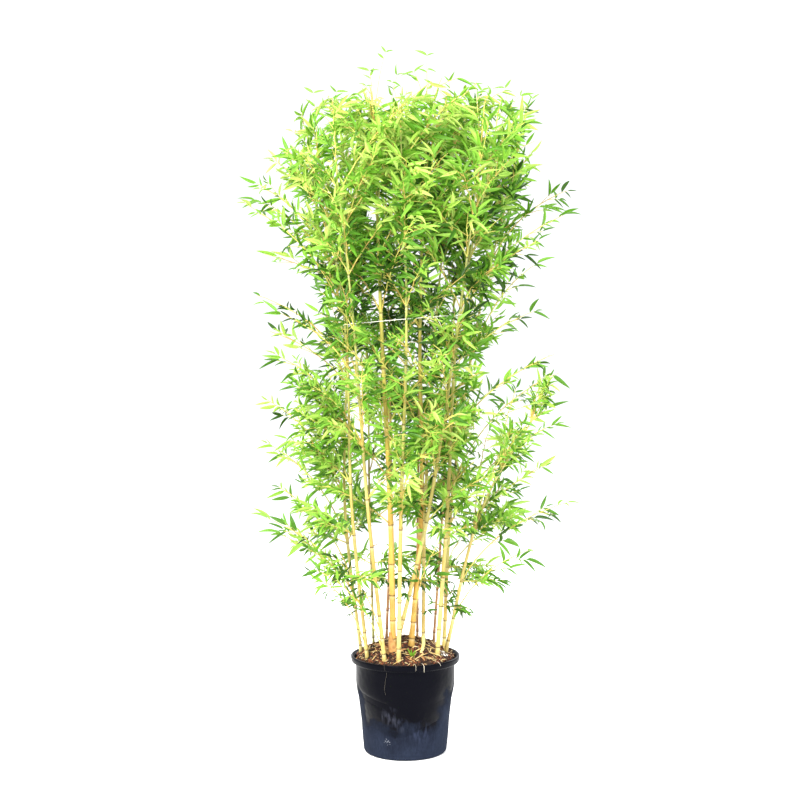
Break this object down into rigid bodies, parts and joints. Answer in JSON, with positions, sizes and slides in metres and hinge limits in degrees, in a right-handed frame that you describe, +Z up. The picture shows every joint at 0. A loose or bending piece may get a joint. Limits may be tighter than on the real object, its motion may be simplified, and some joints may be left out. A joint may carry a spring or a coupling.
{
  "type": "potted bamboo plant",
  "caption": "Clump of golden bamboo canes with leafy side branches from low down to the tips, tied round with twine, in a round black nursery pot.",
  "frame": {"origin": "middle of the flat underside of the pot", "axes": "+Z up along the canes; -Y towards the viewer of the picture; +X to that viewer's right"},
  "size_m": [1.0742, 0.9042, 2.1034],
  "materials": {
    "pot": "smooth black plastic, dusty towards the foot",
    "potting_mix": "rough brown bark and peat",
    "twine": "white twisted twine",
    "cane_golden": "smooth golden yellow, darker at the nodes",
    "cane_pale": "smooth yellow, darker at the nodes",
    "cane_olive": "smooth olive to reddish brown",
    "leaves_head": "satin bright green",
    "leaves_upper": "satin mid green",
    "leaves_middle": "satin mid green",
    "leaves_skirt": "satin green",
    "leaves_stray": "satin yellow-green"
  },
  "bodies": {
    "root": {"cane_01": "cane_pale", "cane_02": "cane_pale", "cane_03": "cane_olive", "cane_04": "cane_pale", "cane_05": "cane_olive", "cane_06": "cane_golden", "cane_07": "cane_pale", "cane_08": "cane_pale", "cane_09": "cane_golden", "cane_10": "cane_olive", "cane_11": "cane_pale", "cane_12": "cane_olive", "cane_13": "cane_pale", "cane_14": "cane_pale", "cane_15": "cane_pale", "foliage_head_01": "leaves_head", "foliage_head_02": "leaves_head", "foliage_head_03": "leaves_head", "foliage_head_04": "leaves_head", "foliage_head_05": "leaves_head", "foliage_head_06": "leaves_head", "foliage_head_07": "leaves_head", "foliage_head_08": "leaves_head", "foliage_head_09": "leaves_head", "foliage_head_10": "leaves_head", "foliage_head_11": "leaves_head", "foliage_head_12": "leaves_head", "foliage_head_13": "leaves_head", "foliage_head_14": "leaves_head", "foliage_head_15": "leaves_head", "foliage_middle_01": "leaves_middle", "foliage_middle_02": "leaves_middle", "foliage_middle_03": "leaves_middle", "foliage_middle_04": "leaves_middle", "foliage_middle_05": "leaves_middle", "foliage_middle_06": "leaves_middle", "foliage_skirt_01": "leaves_skirt", "foliage_skirt_02": "leaves_skirt", "foliage_skirt_03": "leaves_skirt", "foliage_skirt_04": "leaves_skirt", "foliage_skirt_05": "leaves_skirt", "foliage_skirt_06": "leaves_skirt", "foliage_stray_01": "leaves_stray", "foliage_stray_02": "leaves_stray", "foliage_stray_03": "leaves_stray", "foliage_stray_04": "leaves_stray", "foliage_stray_05": "leaves_stray", "foliage_stray_06": "leaves_stray", "foliage_stray_07": "leaves_stray", "foliage_upper_01": "leaves_upper", "foliage_upper_02": "leaves_upper", "foliage_upper_03": "leaves_upper", "foliage_upper_04": "leaves_upper", "foliage_upper_05": "leaves_upper", "pot": "pot", "potting_mix": "potting_mix", "twine": "twine"}
  },
  "joints": []
}
